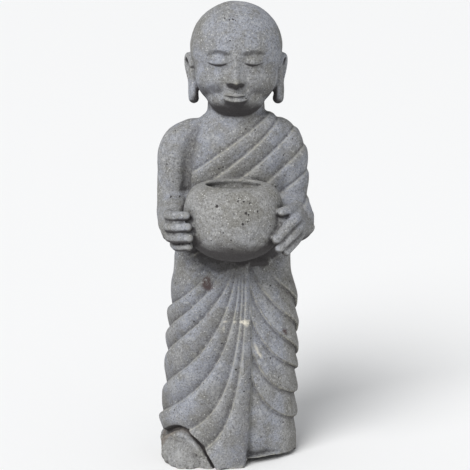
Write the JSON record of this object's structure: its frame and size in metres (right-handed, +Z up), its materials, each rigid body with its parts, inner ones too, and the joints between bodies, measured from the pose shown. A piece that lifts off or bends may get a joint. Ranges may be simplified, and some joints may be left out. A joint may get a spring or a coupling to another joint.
{
  "type": "garden statue",
  "caption": "Standing robed monk with a bald head and long-lobed ears, holding an open round bowl at the waist, carved from one block of grey stone.",
  "frame": {"origin": "on the ground, under the middle of the statue's bounding box", "axes": "+Z up, -Y the way the figure faces, +X to the right of someone looking at its face"},
  "size_m": [0.272, 0.2688, 0.8],
  "materials": {
    "stone": "rough, weathered, with pores and pale worn edges"
  },
  "bodies": {
    "root": {"monk_statue": "stone"}
  },
  "joints": []
}
